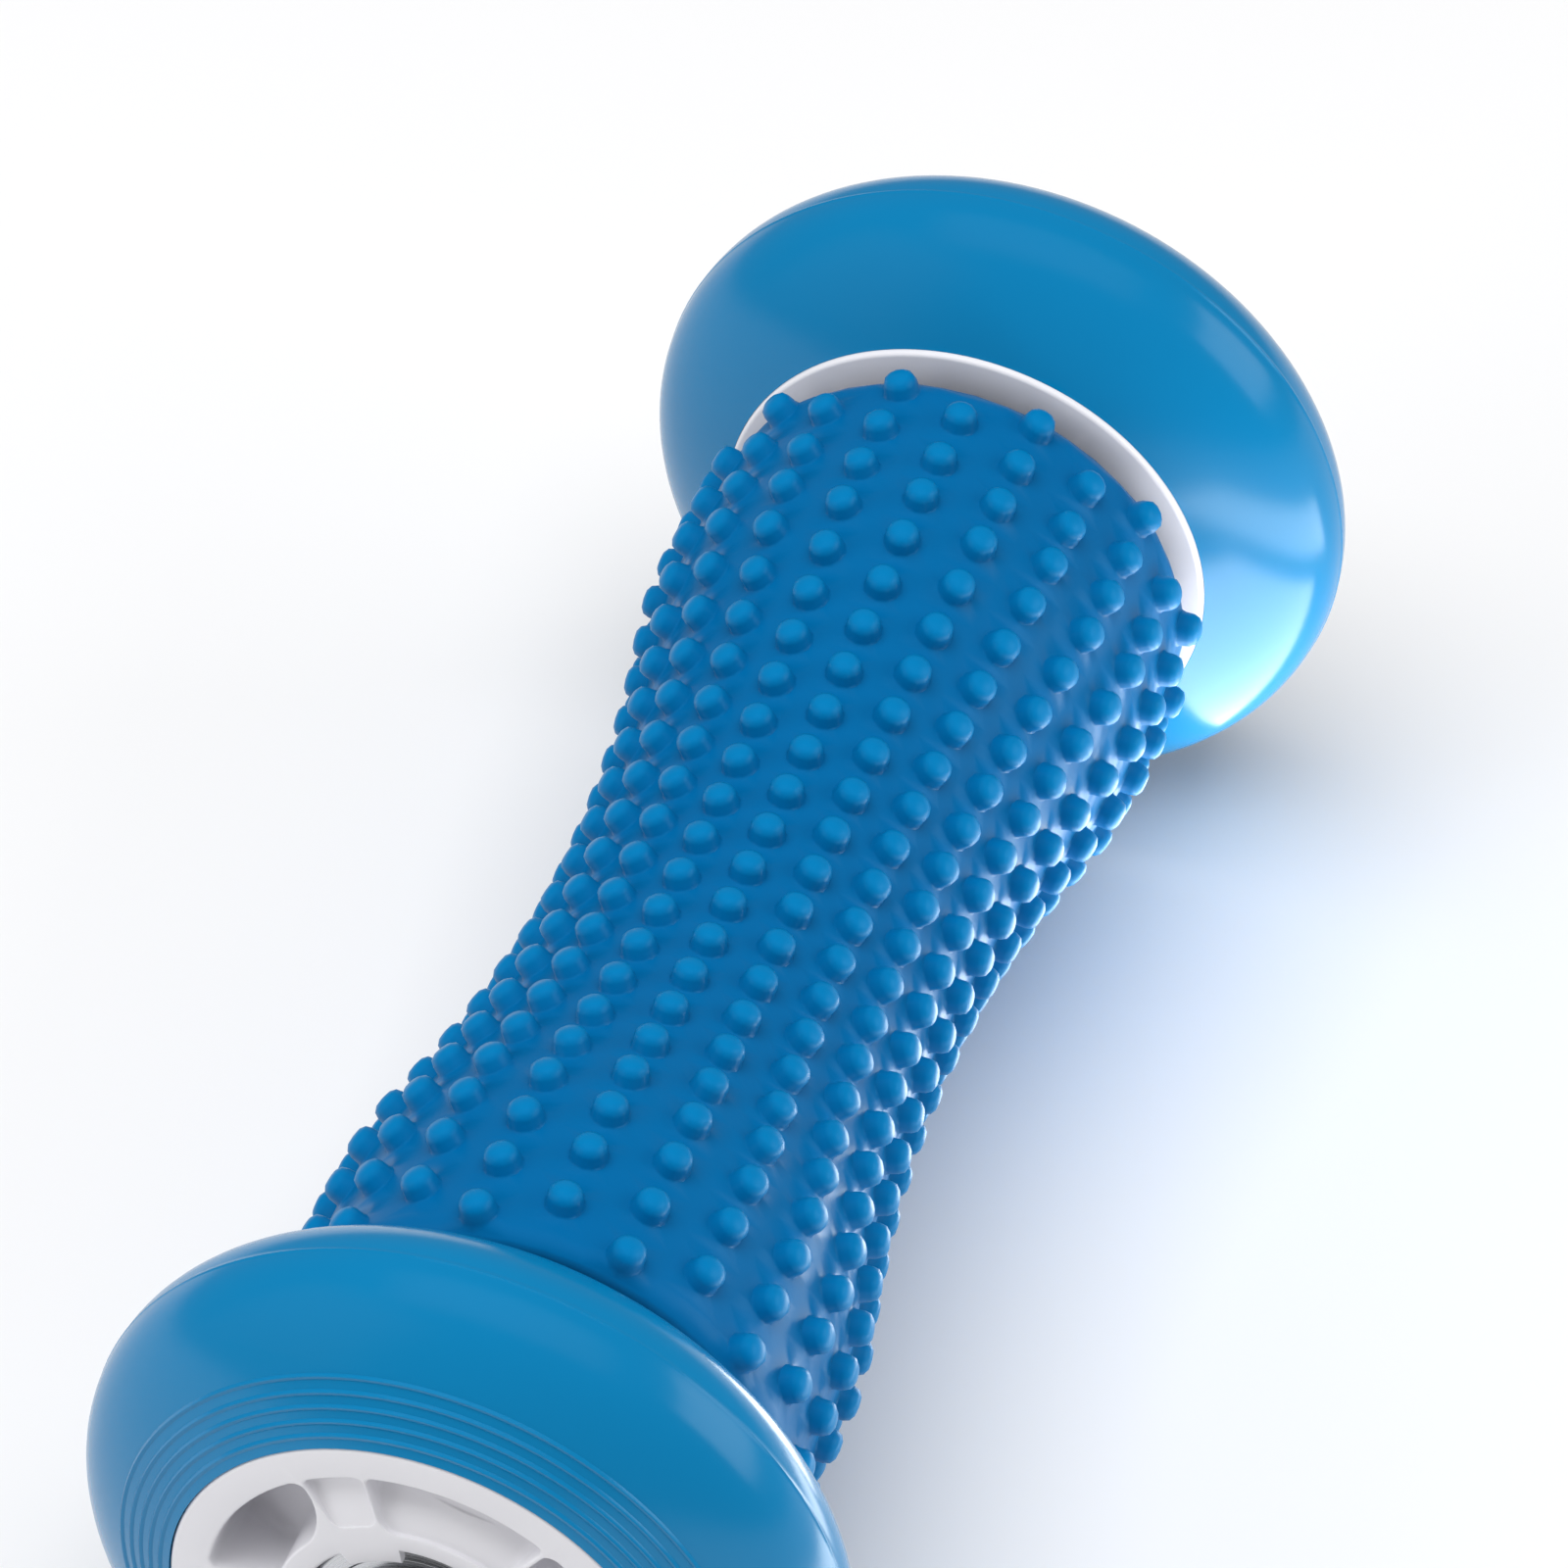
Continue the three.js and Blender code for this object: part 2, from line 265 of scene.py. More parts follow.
def tyreOutline(centre, side):
    ribs = [(crownOffset(radius), radius) for radius in tyre["ribRadii"]]
    bumps = [(Vector(rib), tyre["ribWidth"], tyre["ribHeight"]) for rib in ribs]
    bumps.append((Vector((0, wheel["radius"])), tyre["seamWidth"], tyre["seamHeight"]))
    low, high = -crownOffset(tyre["innerFaceBore"]), wheel["halfWidth"]
    offsets = []
    for i in range(tyre["samples"] + 1):
        share = (1 + math.sin((i / tyre["samples"] - 0.5) * math.pi)) / 2
        offsets.append(low + (high - low) * share)
    for middle, width, _ in bumps:
        run = width / math.hypot(1, slopeOf(crownRadius, middle.x, tyre["slopeStep"]))
        offsets = [offset for offset in offsets if abs(offset - middle.x) > tyre["ribClearance"] * run]
        offsets += [middle.x + run * share for share in (-1, -0.5, 0, 0.5, 1)]
    points = []
    for offset in sorted(offsets):
        here = Vector((offset, crownRadius(offset)))
        normal = Vector((-slopeOf(crownRadius, offset, tyre["slopeStep"]), 1)).normalized()
        for middle, width, height in bumps:
            away = (here - middle).length / width
            if away < 1:
                here = here + normal * height * (1 - away ** 2) ** tyre["ribCurve"]
        points.append((centre + side * here.x, here.y))
    ring = tyre["anchorHalf"]
    for offset, radius in (
        (ring, tyre["bore"]), (ring, tyre["anchorRadius"]),
        (-ring, tyre["anchorRadius"]), (-ring, tyre["innerFaceBore"]),
    ):
        points.append((centre + side * offset, radius))
    return points


def makeTyre(side, material):
    piece = turnPiece(tyreOutline(wheelCentre(side), wheelSides[side]), tyre["steps"])
    return finishPiece(piece, f"{side}Tyre", f"{side}_wheel", f"{side}_tyre", material)


# Hub: a turned rim and boss, pockets with rounded mouths cut from both faces, and snap lugs

hub = {
    "anchorRadius": 27,
    "anchorHalf": 2.5,
    "seatRadius": radiusOf("left_outer_bearing_outer_race") + 0.3,
    "shoulder": 3.75,
    "shoulderBore": 9.6,
    "shoulderRound": 0.2,
    "edge": 0.45,
    "turns": (0, 120, 240),  # where the pattern of pockets and lugs repeats
    "steps": 144,
    "smoothDegrees": 28,
}
pocketKinds = {
    "deep": {"from": 122.6, "to": 172.2, "inner": 13.8, "outer": 20.1, "depth": 8.5, "floorRound": 1.3,
             "corners": (1.3, 5.4, 2.2, 1.3), "bossShare": 0.75},
    "shallow": {"from": 173.8, "to": 223.4, "inner": 13.4, "outer": 20.1, "depth": 3.6, "floorRound": 1.6,
                "corners": (1.1, 2.2, 2.2, 1.1), "bossShare": 0.25},
    "hollow": {"from": 104.1, "to": 121.6, "inner": 14.2, "outer": 20.1, "depth": 1.5, "floorRound": 0.8,
               "corners": (1.0, 1.6, 1.6, 1.0), "bossShare": 0.2},
}
pocketCut = {
    "mouthRound": 0.3,
    "arcSteps": 4,
    "floorSteps": 4,
    "floorReach": 0.94,  # share of the way from the mouth to the middle of the floor
    "proud": 1.0,
    "cornerSteps": 8,
    "smallestCorner": 0.2,
    "leastCorner": 0.05,
    "leastStraight": 0.45,
    "sideSteps": (5, 12),
}
lug = {
    "middle": 113,
    "halfAngle": 15,
    "inner": 9.9,
    "outer": 12.2,
    "thickness": 0.9,
    "edge": 0.25,
    "steps": 12,
}


def pocketRing(kind, inset):
    mouth = pocketCut["mouthRound"]
    middle = (kind["inner"] + kind["outer"]) / 2
    first = math.radians(kind["from"]) * middle - mouth + inset
    last = math.radians(kind["to"]) * middle + mouth - inset
    low = kind["inner"] - mouth + inset
    high = kind["outer"] + mouth - inset
    corners = [(first, high), (first, low), (last, low), (last, high)]
    steps, smallest = pocketCut["cornerSteps"], pocketCut["smallestCorner"]
    largest = max(pocketCut["leastCorner"], min(last - first, high - low) - pocketCut["leastStraight"])
    rounds = [min(largest, max(radius - inset, smallest)) for radius in kind["corners"]]
    flat = roundedOutline([(*corner, radius) for corner, radius in zip(corners, rounds)], steps)
    dense = []
    for i, here in enumerate(flat):
        after = flat[(i + 1) % len(flat)]
        side, point = divmod(i, steps + 1)
        startsSide = point == steps  # a straight side starts at a corner's last point
        pieces = pocketCut["sideSteps"][side % 2] if startsSide else 1
        dense += [here.lerp(after, step / pieces) for step in range(pieces)]
    return [(point.x / middle, point.y) for point in dense]


def pocketLevels(kind):
    mouth, floor, steps = pocketCut["mouthRound"], kind["floorRound"], pocketCut["arcSteps"]
    quarter = [math.pi / 2 * i / steps for i in range(steps + 1)]
    levels = [(mouth * math.sin(angle), mouth * (1 - math.cos(angle))) for angle in quarter]
    wall = kind["depth"] - floor
    levels += [(mouth + floor * (1 - math.cos(angle)), wall + floor * math.sin(angle)) for angle in quarter]
    middle = (kind["inner"] + kind["outer"]) / 2
    span = math.radians(kind["to"] - kind["from"]) * middle
    innermost = pocketCut["floorReach"] * (mouth + min(span, kind["outer"] - kind["inner"]) / 2)
    start = mouth + floor
    for i in range(1, pocketCut["floorSteps"] + 1):
        levels.append((start + (innermost - start) * i / pocketCut["floorSteps"], kind["depth"]))
    return levels


# The pocket gets shallower towards the boss, so it reads as a scoop

def scoop(kind, depth, radius):
    if depth <= 0:
        return depth
    share = min(1, max(0, (radius - kind["inner"]) / (kind["outer"] - kind["inner"])))
    ease = share * share * (3 - 2 * share)
    return depth * (kind["bossShare"] + (1 - kind["bossShare"]) * ease)


def placePocketRing(cutter, kind, inset, depth, turnDegrees):
    points = pocketRing(kind, inset)
    cage = bmesh.from_edit_mesh(cutter.data)
    order = cage.verts.layers.int["order"]
    for vertex in cage.verts:
        if vertex.select:
            angle, radius = points[vertex[order]]
            turned = angle + math.radians(turnDegrees)
            vertex.co = (scoop(kind, depth, radius) - wheel["halfWidth"],
                         -radius * math.cos(turned), radius * math.sin(turned))
    bmesh.update_edit_mesh(cutter.data)


def makePocketCutter(kind, turnDegrees):
    bpy.ops.object.select_all(action="DESELECT")
    bpy.ops.mesh.primitive_circle_add(vertices=len(pocketRing(kind, 0)), radius=1, fill_type="NGON")
    cutter = bpy.context.object
    editPiece(cutter)
    cage = bmesh.from_edit_mesh(cutter.data)
    order = cage.verts.layers.int.new("order")
    for i, vertex in enumerate(cage.verts):
        vertex[order] = i
    bmesh.update_edit_mesh(cutter.data)
    bpy.ops.mesh.select_mode(type="FACE")
    bpy.ops.mesh.select_all(action="SELECT")
    placePocketRing(cutter, kind, 0, -pocketCut["proud"], turnDegrees)
    bpy.ops.mesh.duplicate()
    for inset, depth in pocketLevels(kind):
        bpy.ops.mesh.extrude_region_move(TRANSFORM_OT_translate={"value": (0, 0, 0)})
        placePocketRing(cutter, kind, inset, depth, turnDegrees)
    tidyMesh()
    leaveEdit()
    cutter.data.attributes.remove(cutter.data.attributes["order"])
    return cutter


def makeLug(turnDegrees):
    low, high = -wheel["halfWidth"], lug["thickness"] - wheel["halfWidth"]
    edge = lug["edge"]
    outline = roundedOutline([(low, lug["outer"], 0), (high, lug["outer"], 0),
                              (high, lug["inner"], edge), (low, lug["inner"], edge)], arcSteps=3)
    bpy.ops.object.select_all(action="DESELECT")
    bpy.ops.mesh.primitive_circle_add(vertices=len(outline), radius=1, fill_type="NGON")
    piece = bpy.context.object
    editPiece(piece)
    start = math.radians(lug["middle"] - lug["halfAngle"] + turnDegrees)
    cage = bmesh.from_edit_mesh(piece.data)
    cage.verts.ensure_lookup_table()
    for vertex, (x, radius) in zip(cage.verts, outline):
        vertex.co = (x, -radius * math.cos(start), radius * math.sin(start))
    bmesh.update_edit_mesh(piece.data)
    bpy.ops.mesh.select_all(action="SELECT")
    bpy.ops.mesh.spin(steps=lug["steps"], angle=math.radians(2 * lug["halfAngle"]),
                      center=(0, 0, 0), axis=(1, 0, 0))
    tidyMesh()
    leaveEdit()
    return piece


# The hub is made once about its own centre, with the outer face towards -X

def makeHubMaster():
    half, edge, seat = wheel["halfWidth"], hub["edge"], hub["seatRadius"]
    ring, shoulder, bend = hub["anchorHalf"], hub["shoulder"], hub["shoulderRound"]
    outline = roundedOutline([
        (-half, wheel["rimRadius"], edge), (-ring, wheel["rimRadius"], 0), (-ring, hub["anchorRadius"], 0),
        (ring, hub["anchorRadius"], 0), (ring, wheel["innerFaceRim"], 0), (half, wheel["innerFaceRim"], edge),
        (half, seat, edge), (shoulder, seat, 0), (shoulder, hub["shoulderBore"], bend),
        (-shoulder, hub["shoulderBore"], bend), (-shoulder, seat, 0), (-half, seat, edge),
    ])
    master = turnPiece(outline, hub["steps"])
    for vertex in master.data.vertices:
        vertex.co.z -= axleHeight
    for kind in pocketKinds.values():
        cutters = addMirrored([makePocketCutter(kind, turn) for turn in hub["turns"]])
        combine(master, joinPieces(cutters, "pocketTool"), "DIFFERENCE")
    lugs = addMirrored([makeLug(turn) for turn in hub["turns"]])
    combine(master, joinPieces(lugs, "lugTool"), "UNION")
    return master


def placeWheelPiece(master, side, name):
    placed = copyPiece(master, name)
    turn = Matrix.Identity(4) if side == "left" else Matrix.Rotation(math.pi, 4, "Z")
    placed.data.transform(Matrix.Translation((wheelCentre(side), 0, axleHeight)) @ turn)
    return placed


def makeHubs(material):
    master = makeHubMaster()
    for side in wheelSides:
        piece = placeWheelPiece(master, side, f"{side}Hub")
        finishPiece(piece, f"{side}Hub", f"{side}_wheel", f"{side}_hub", material,
                    hub["smoothDegrees"])
    bpy.data.objects.remove(master)


# Bearings, each turned in place from the box of its own node

bearing = {
    "chamfer": 0.35,
    "shoulderRound": 0.15,
    "grooveRadius": 2.05,
    "grooveSteps": 8,
    "outerRaceBore": 9.1,
    "axleClearance": 0.06,
    "steps": 72,
}
ballSet = {
    "circle": 7.5,
    "balls": 7,
    "ballRadius": 1.985,
    "ballDetail": 3,
    "bandHalfThickness": 0.35,
    "bandHalfWidth": 1.3,
    "bandEdge": 0.1,
    "bandSteps": 84,
}
shield = {
    "bore": 6.35,
    "lip": 0.9,
    "dishStart": 1.3,
    "dish": 0.35,
    "edge": 0.08,
    "bend": 0.15,
    "boreEdge": 0.05,
}


def grooveCorners(shoulderRadius, outward, middle):
    rise = abs(shoulderRadius - ballSet["circle"])
    half = math.acos(rise / bearing["grooveRadius"])
    corners = []
    for i in range(bearing["grooveSteps"] + 1):
        angle = -half + 2 * half * i / bearing["grooveSteps"]
        radius = ballSet["circle"] + outward * bearing["grooveRadius"] * math.cos(angle)
        corners.append((middle + bearing["grooveRadius"] * math.sin(angle), radius, 0))
    return corners


def makeRace(name, node, body, inner, outer, grooveSide, material):
    low, high = spanOf(node)
    middle = (low + high) / 2
    chamfer, shoulder = bearing["chamfer"], bearing["shoulderRound"]
    if grooveSide < 0:
        corners = [(low, inner, chamfer), (low, outer, shoulder)]
        corners += grooveCorners(outer, -1, middle)
        corners += [(high, outer, shoulder), (high, inner, chamfer)]
    else:
        corners = [(high, outer, chamfer), (high, inner, shoulder)]
        corners += list(reversed(grooveCorners(inner, 1, middle)))
        corners += [(low, inner, shoulder), (low, outer, chamfer)]
    piece = turnPiece(roundedOutline(corners, arcSteps=3), bearing["steps"])
    return finishPiece(piece, name, body, node, material)


def makeBallSet(name, node, body, material):
    low, high = spanOf(node)
    middle = (low + high) / 2
    parts = []
    for i in range(ballSet["balls"]):
        angle = 2 * math.pi * i / ballSet["balls"]
        place = (middle, ballSet["circle"] * math.sin(angle),
                 axleHeight + ballSet["circle"] * math.cos(angle))
        bpy.ops.object.select_all(action="DESELECT")
        bpy.ops.mesh.primitive_ico_sphere_add(subdivisions=ballSet["ballDetail"],
                                              radius=ballSet["ballRadius"], location=place)
        bpy.ops.object.transform_apply(location=True, rotation=False, scale=False)
        parts.append(bpy.context.object)
    thick, wide, edge = ballSet["bandHalfThickness"], ballSet["bandHalfWidth"], ballSet["bandEdge"]
    inner, outer = ballSet["circle"] - thick, ballSet["circle"] + thick
    band = [(middle - wide, outer, edge), (middle + wide, outer, edge),
            (middle + wide, inner, edge), (middle - wide, inner, edge)]
    parts.append(turnPiece(roundedOutline(band, arcSteps=2), ballSet["bandSteps"]))
    piece = joinPieces(parts, name)
    return finishPiece(piece, name, body, node, material)


def makeShield(name, node, body, outwards, material):
    low, high = spanOf(node)
    face, back = (high, low) if outwards > 0 else (low, high)
    inner, outer, bend = shield["bore"], radiusOf(node), shield["bend"]
    lip, floor = outer - shield["lip"], outer - shield["dishStart"]
    dish = shield["dish"] * outwards
    corners = [
        (back, outer, 0), (face, outer, shield["edge"]), (face, lip, bend), (face - dish, floor, bend),
        (face - dish, inner, shield["boreEdge"]), (back - dish, inner, 0),
        (back - dish, floor, bend), (back, lip, bend),
    ]
    piece = turnPiece(roundedOutline(corners, arcSteps=3), bearing["steps"])
    return finishPiece(piece, name, body, node, material)


def makeBearings(steel):
    for side, sign in wheelSides.items():
        for place, facing in (("outer", sign), ("inner", -sign)):
            start = f"{side}_{place}_bearing"
            title = f"{side}{place.title()}Bearing"
            innerRace, outerRace = f"{start}_inner_race", f"{start}_outer_race"
            makeRace(f"{title}InnerRace", innerRace, "axle",
                     axleRadius + bearing["axleClearance"], radiusOf(innerRace), -1, steel)
            makeRace(f"{title}OuterRace", outerRace, f"{side}_wheel",
                     bearing["outerRaceBore"], radiusOf(outerRace), 1, steel)
            makeBallSet(f"{title}BallSet", f"{start}_ball_set", f"{side}_ball_sets", steel)
            makeShield(f"{title}Shield", f"{start}_shield", f"{side}_wheel", facing, steel)


# Axle hardware

hardware = {
    "bore": axleRadius + 0.08,
    "edge": 0.25,
    "tipChamfer": 0.7,
    "centreRadius": 0.9,
    "centreDepth": 0.8,
    "steps": 72,
}


def makeAxle(material):
    low, high = spanOf("axle_rod")
    chamfer, centre, deep = hardware["tipChamfer"], hardware["centreRadius"], hardware["centreDepth"]
    half = [(0, deep), (centre, 0), (axleRadius - chamfer, 0), (axleRadius, chamfer)]
    outline = [(low + along, radius) for radius, along in half]
    outline += [(high - along, radius) for radius, along in reversed(half)]
    piece = turnPiece(outline, hardware["steps"], closed=False)
    return finishPiece(piece, "axleRod", "axle", "axle_rod", material)


ringNodes = {"SpeedWasher": "speed_washer", "BearingSpacer": "bearing_spacer", "InnerCollar": "inner_collar"}


def makeRing(name, node, material):
    low, high = spanOf(node)
    inner, outer = hardware["bore"], radiusOf(node)
    edge = min(hardware["edge"], (high - low) / 4)
    corners = [(low, outer, edge), (high, outer, edge), (high, inner, edge / 2), (low, inner, edge / 2)]
    piece = turnPiece(roundedOutline(corners, arcSteps=3), hardware["steps"])
    return finishPiece(piece, name, "axle", node, material)


nut = {
    "acrossFlats": 13,
    "chamferDegrees": 30,
    "chamferStart": 6.35,
    "mouth": 0.5,
    "cutPast": 1,  # how far the cutting shapes stand past the nut
    "lensSteps": 96,
    "drillSteps": 64,
    "smoothDegrees": 20,
}


def makeNut(side, material):
    node = f"{side}_axle_nut"
    low, high = spanOf(node)
    middle, width = (low + high) / 2, high - low
    corner = nut["acrossFlats"] / 2 / math.cos(math.pi / 6)
    bpy.ops.object.select_all(action="DESELECT")
    bpy.ops.mesh.primitive_cylinder_add(vertices=6, radius=corner, depth=width,
                                        location=(middle, 0, axleHeight), rotation=(0, math.pi / 2, 0))
    piece = bpy.context.object
    bpy.ops.object.transform_apply(location=True, rotation=True, scale=False)
    past, flat = nut["cutPast"], nut["chamferStart"]
    drop = (corner + past - flat) * math.tan(math.radians(nut["chamferDegrees"]))
    lens = turnPiece([
        (low, 0), (low, flat), (low + drop, corner + past),
        (high - drop, corner + past), (high, flat), (high, 0),
    ], nut["lensSteps"], closed=False)
    combine(piece, lens, "INTERSECT")
    bore, mouth = hardware["bore"], nut["mouth"]
    drill = turnPiece([
        (low - past, 0), (low - past, bore + mouth + past), (low + mouth, bore), (high - mouth, bore),
        (high + past, bore + mouth + past), (high + past, 0),
    ], nut["drillSteps"], closed=False)
    combine(piece, drill, "DIFFERENCE")
    return finishPiece(piece, f"{side}AxleNut", "axle", node, material, nut["smoothDegrees"])


# Massage roller: core, caps, bushes and the nubbed sleeve

roller = {
    "waist": 20.2,  # radius halfway up the nubs
    "waistArc": 165,
    "waistArcEnd": 37,
    "shoulderArc": 43,
    "halfNub": 1.05,
    "wall": 3.0,
    "slopeStep": 0.1,
}


def sleeveRadius(x):
    away = abs(x)
    tilt = math.asin(roller["waistArcEnd"] / roller["waistArc"])
    cylinderStart = roller["waistArcEnd"] + roller["shoulderArc"] * math.sin(tilt)
    cylinder = roller["waist"] + (roller["waistArc"] + roller["shoulderArc"]) * (1 - math.cos(tilt))
    if away <= roller["waistArcEnd"]:
        return roller["waist"] + roller["waistArc"] - math.sqrt(roller["waistArc"] ** 2 - away ** 2)
    if away < cylinderStart:
        left = cylinderStart - away
        return cylinder - roller["shoulderArc"] + math.sqrt(roller["shoulderArc"] ** 2 - left ** 2)
    return cylinder


def boreRadius(x):
    return sleeveRadius(x) - roller["halfNub"] - roller["wall"]


sleeve = {
    "rows": 22,
    "rowPhase": 68.7,
    "tileLength": 5.5,
    "tileWidth": 5.9,
    "nubSides": 12,
    "evenTiles": 9,  # tiles each side of the middle at the close spacing
    "endTiles": 2,  # tiles past them at the wide spacing, the last half tile stretched to the end
    "endPitch": 6.3,
    "nubRings": ((1.98, 0), (1.8, 0.22), (1.68, 1.1), (1.42, 1.7), (0.88, 2.02)),
    "nubTop": 2.1,
    "endEdge": 0.3,
    "edgeShares": (1, 0.6, 0.3, 0.1, 0),
    "endRound": 1.6,
    "boreStations": (44, 24),
    "bridgeCuts": 3,
    "bridgeReach": 23,
    "boreMargin": 1,
    "mergeDistance": 0.002,
    "touching": 0.01,  # points nearer than this are one point
    "flatBelow": 0.001,  # a point higher than this is on a nub
    "smoothDegrees": 50,
    "halfLength": spanOf("massage_sleeve")[1],
}


def placeAlong(tiles):
    away = abs(tiles)
    even, pitch = sleeve["evenTiles"], sleeve["tileLength"]
    reach = pitch * away if away <= even else pitch * even + sleeve["endPitch"] * (away - even)
    last = sleeve["halfLength"] - sleeve["endEdge"]
    wide = sleeve["endTiles"] - 0.5
    if away > even + wide:
        start = pitch * even + sleeve["endPitch"] * wide
        reach = start + (last - start) * (away - even - wide) / 0.5
    return math.copysign(reach, tiles)


# How far the rounded end has fallen below the outline

def endDrop(along):
    size = sleeve["endRound"]
    past = abs(along) - (sleeve["halfLength"] - size)
    if past <= 0:
        return 0
    return size - math.sqrt(max(0, size ** 2 - past ** 2))


# One tile of the sleeve: a rectangle with one nub in its middle, whose edges meet the next tile's

def makeTile(alongTiles, acrossRows):
    length, width, sides = sleeve["tileLength"], sleeve["tileWidth"], sleeve["nubSides"]
    rings = sleeve["nubRings"]
    bpy.ops.object.select_all(action="DESELECT")
    bpy.ops.mesh.primitive_circle_add(vertices=sides, radius=rings[0][0], fill_type="NOTHING")
    tile = bpy.context.object
    editPiece(tile)
    bpy.ops.mesh.select_all(action="SELECT")
    bpy.ops.mesh.extrude_region_move(TRANSFORM_OT_translate={"value": (0, 0, 0)})
    halfLength, halfWidth = length / 2, width / 2
    edgePoints = [
        (halfLength, 0), (halfLength, halfWidth), (length / 4, halfWidth), (0, halfWidth),
        (-length / 4, halfWidth), (-halfLength, halfWidth), (-halfLength, 0), (-halfLength, -halfWidth),
        (-length / 4, -halfWidth), (0, -halfWidth), (length / 4, -halfWidth), (halfLength, -halfWidth),
    ]
    cage = bmesh.from_edit_mesh(tile.data)
    for vertex in cage.verts:
        if vertex.select:
            turn = math.atan2(vertex.co.y, vertex.co.x) / (2 * math.pi) * sides
            vertex.co.x, vertex.co.y = edgePoints[round(turn) % sides]
    bmesh.update_edit_mesh(tile.data)
    pickVertices(tile, lambda place: math.hypot(place.x, place.y) < rings[0][0] + sleeve["touching"])
    for (before, low), (after, high) in zip(rings, rings[1:]):
        bpy.ops.mesh.extrude_region_move(TRANSFORM_OT_translate={"value": (0, 0, high - low)})
        bpy.ops.transform.resize(value=(after / before, after / before, 1), center_override=(0, 0, 0))
    crown = sleeve["nubTop"] - rings[-1][1]
    bpy.ops.mesh.extrude_region_move(TRANSFORM_OT_translate={"value": (0, 0, crown)})
    bpy.ops.mesh.merge(type="CENTER")
    bpy.ops.mesh.select_all(action="SELECT")
    bpy.ops.transform.translate(value=(alongTiles * length, acrossRows * width, 0))
    leaveEdit()
    return tile


def makePlainHalfTile(alongTiles, acrossRows):
    bpy.ops.object.select_all(action="DESELECT")
    bpy.ops.mesh.primitive_grid_add(x_subdivisions=2, y_subdivisions=2, size=1)
    tile = bpy.context.object
    length, width = sleeve["tileLength"], sleeve["tileWidth"]
    editPiece(tile)
    bpy.ops.mesh.select_all(action="SELECT")
    bpy.ops.transform.resize(value=(length / 2, width, 1))
    bpy.ops.transform.translate(value=(alongTiles * length, acrossRows * width, 0))
    leaveEdit()
    return tile


def repeatPiece(piece, count, offset):
    applyModifier(piece, "ARRAY", count=count, use_relative_offset=False, use_constant_offset=True,
                  constant_offset_displace=offset, use_merge_vertices=True,
                  merge_threshold=sleeve["touching"])


def makeFlatSleeve():
    full = sleeve["evenTiles"] + sleeve["endTiles"]
    longRow = makeTile(0.5 - full, 0)
    repeatPiece(longRow, 2 * full, (sleeve["tileLength"], 0, 0))
    shortRow = makeTile(1 - full, 1)
    repeatPiece(shortRow, 2 * full - 1, (sleeve["tileLength"], 0, 0))
    ends = [makePlainHalfTile(sign * (full - 0.25), 1) for sign in (-1, 1)]  # they fill the short row
    flat = joinPieces([longRow, shortRow] + ends, "flatSleeve")
    repeatPiece(flat, sleeve["rows"] // 2, (0, 2 * sleeve["tileWidth"], 0))
    editPiece(flat)
    bpy.ops.mesh.select_all(action="SELECT")
    bpy.ops.mesh.remove_doubles(threshold=sleeve["touching"])
    leaveEdit()
    return flat


# Each vertex goes from the flat sheet to the waisted roller; nubs keep their own size and roundness

def wrapSleeve(piece):
    length, width = sleeve["tileLength"], sleeve["tileWidth"]
    nubFoot = sleeve["nubRings"][0][0] + sleeve["touching"]
    flat = sleeve["flatBelow"]
    rowAngle = 2 * math.pi / sleeve["rows"]
    # the height share kept on each point is also the mask for the painted light on the nub tops
    nubHeights = piece.data.attributes.new("nubHeight", "FLOAT", "POINT")
    for vertex in piece.data.vertices:
        x, y, height = vertex.co
        nubHeights.data[vertex.index].value = height / sleeve["nubTop"]
        row = round(y / width)
        shift = 0.5 if row % 2 == 0 else 0
        tile = round(x / length - shift) + shift
        alongNub, acrossNub = x - tile * length, y - row * width
        if height > flat or math.hypot(alongNub, acrossNub) < nubFoot:
            along = placeAlong(tile) + alongNub
            angle = row * rowAngle + acrossNub / sleeveRadius(along)
        else:
            along = placeAlong(x / length)
            angle = y / width * rowAngle
        tilt = math.atan(slopeOf(sleeveRadius, along, roller["slopeStep"]))
        radius = sleeveRadius(along) - roller["halfNub"] + height * math.cos(tilt)
        if height < flat:
            radius -= endDrop(along)
        turned = math.radians(sleeve["rowPhase"]) + angle
        vertex.co = (along - height * math.sin(tilt), -radius * math.cos(turned),
                     axleHeight + radius * math.sin(turned))


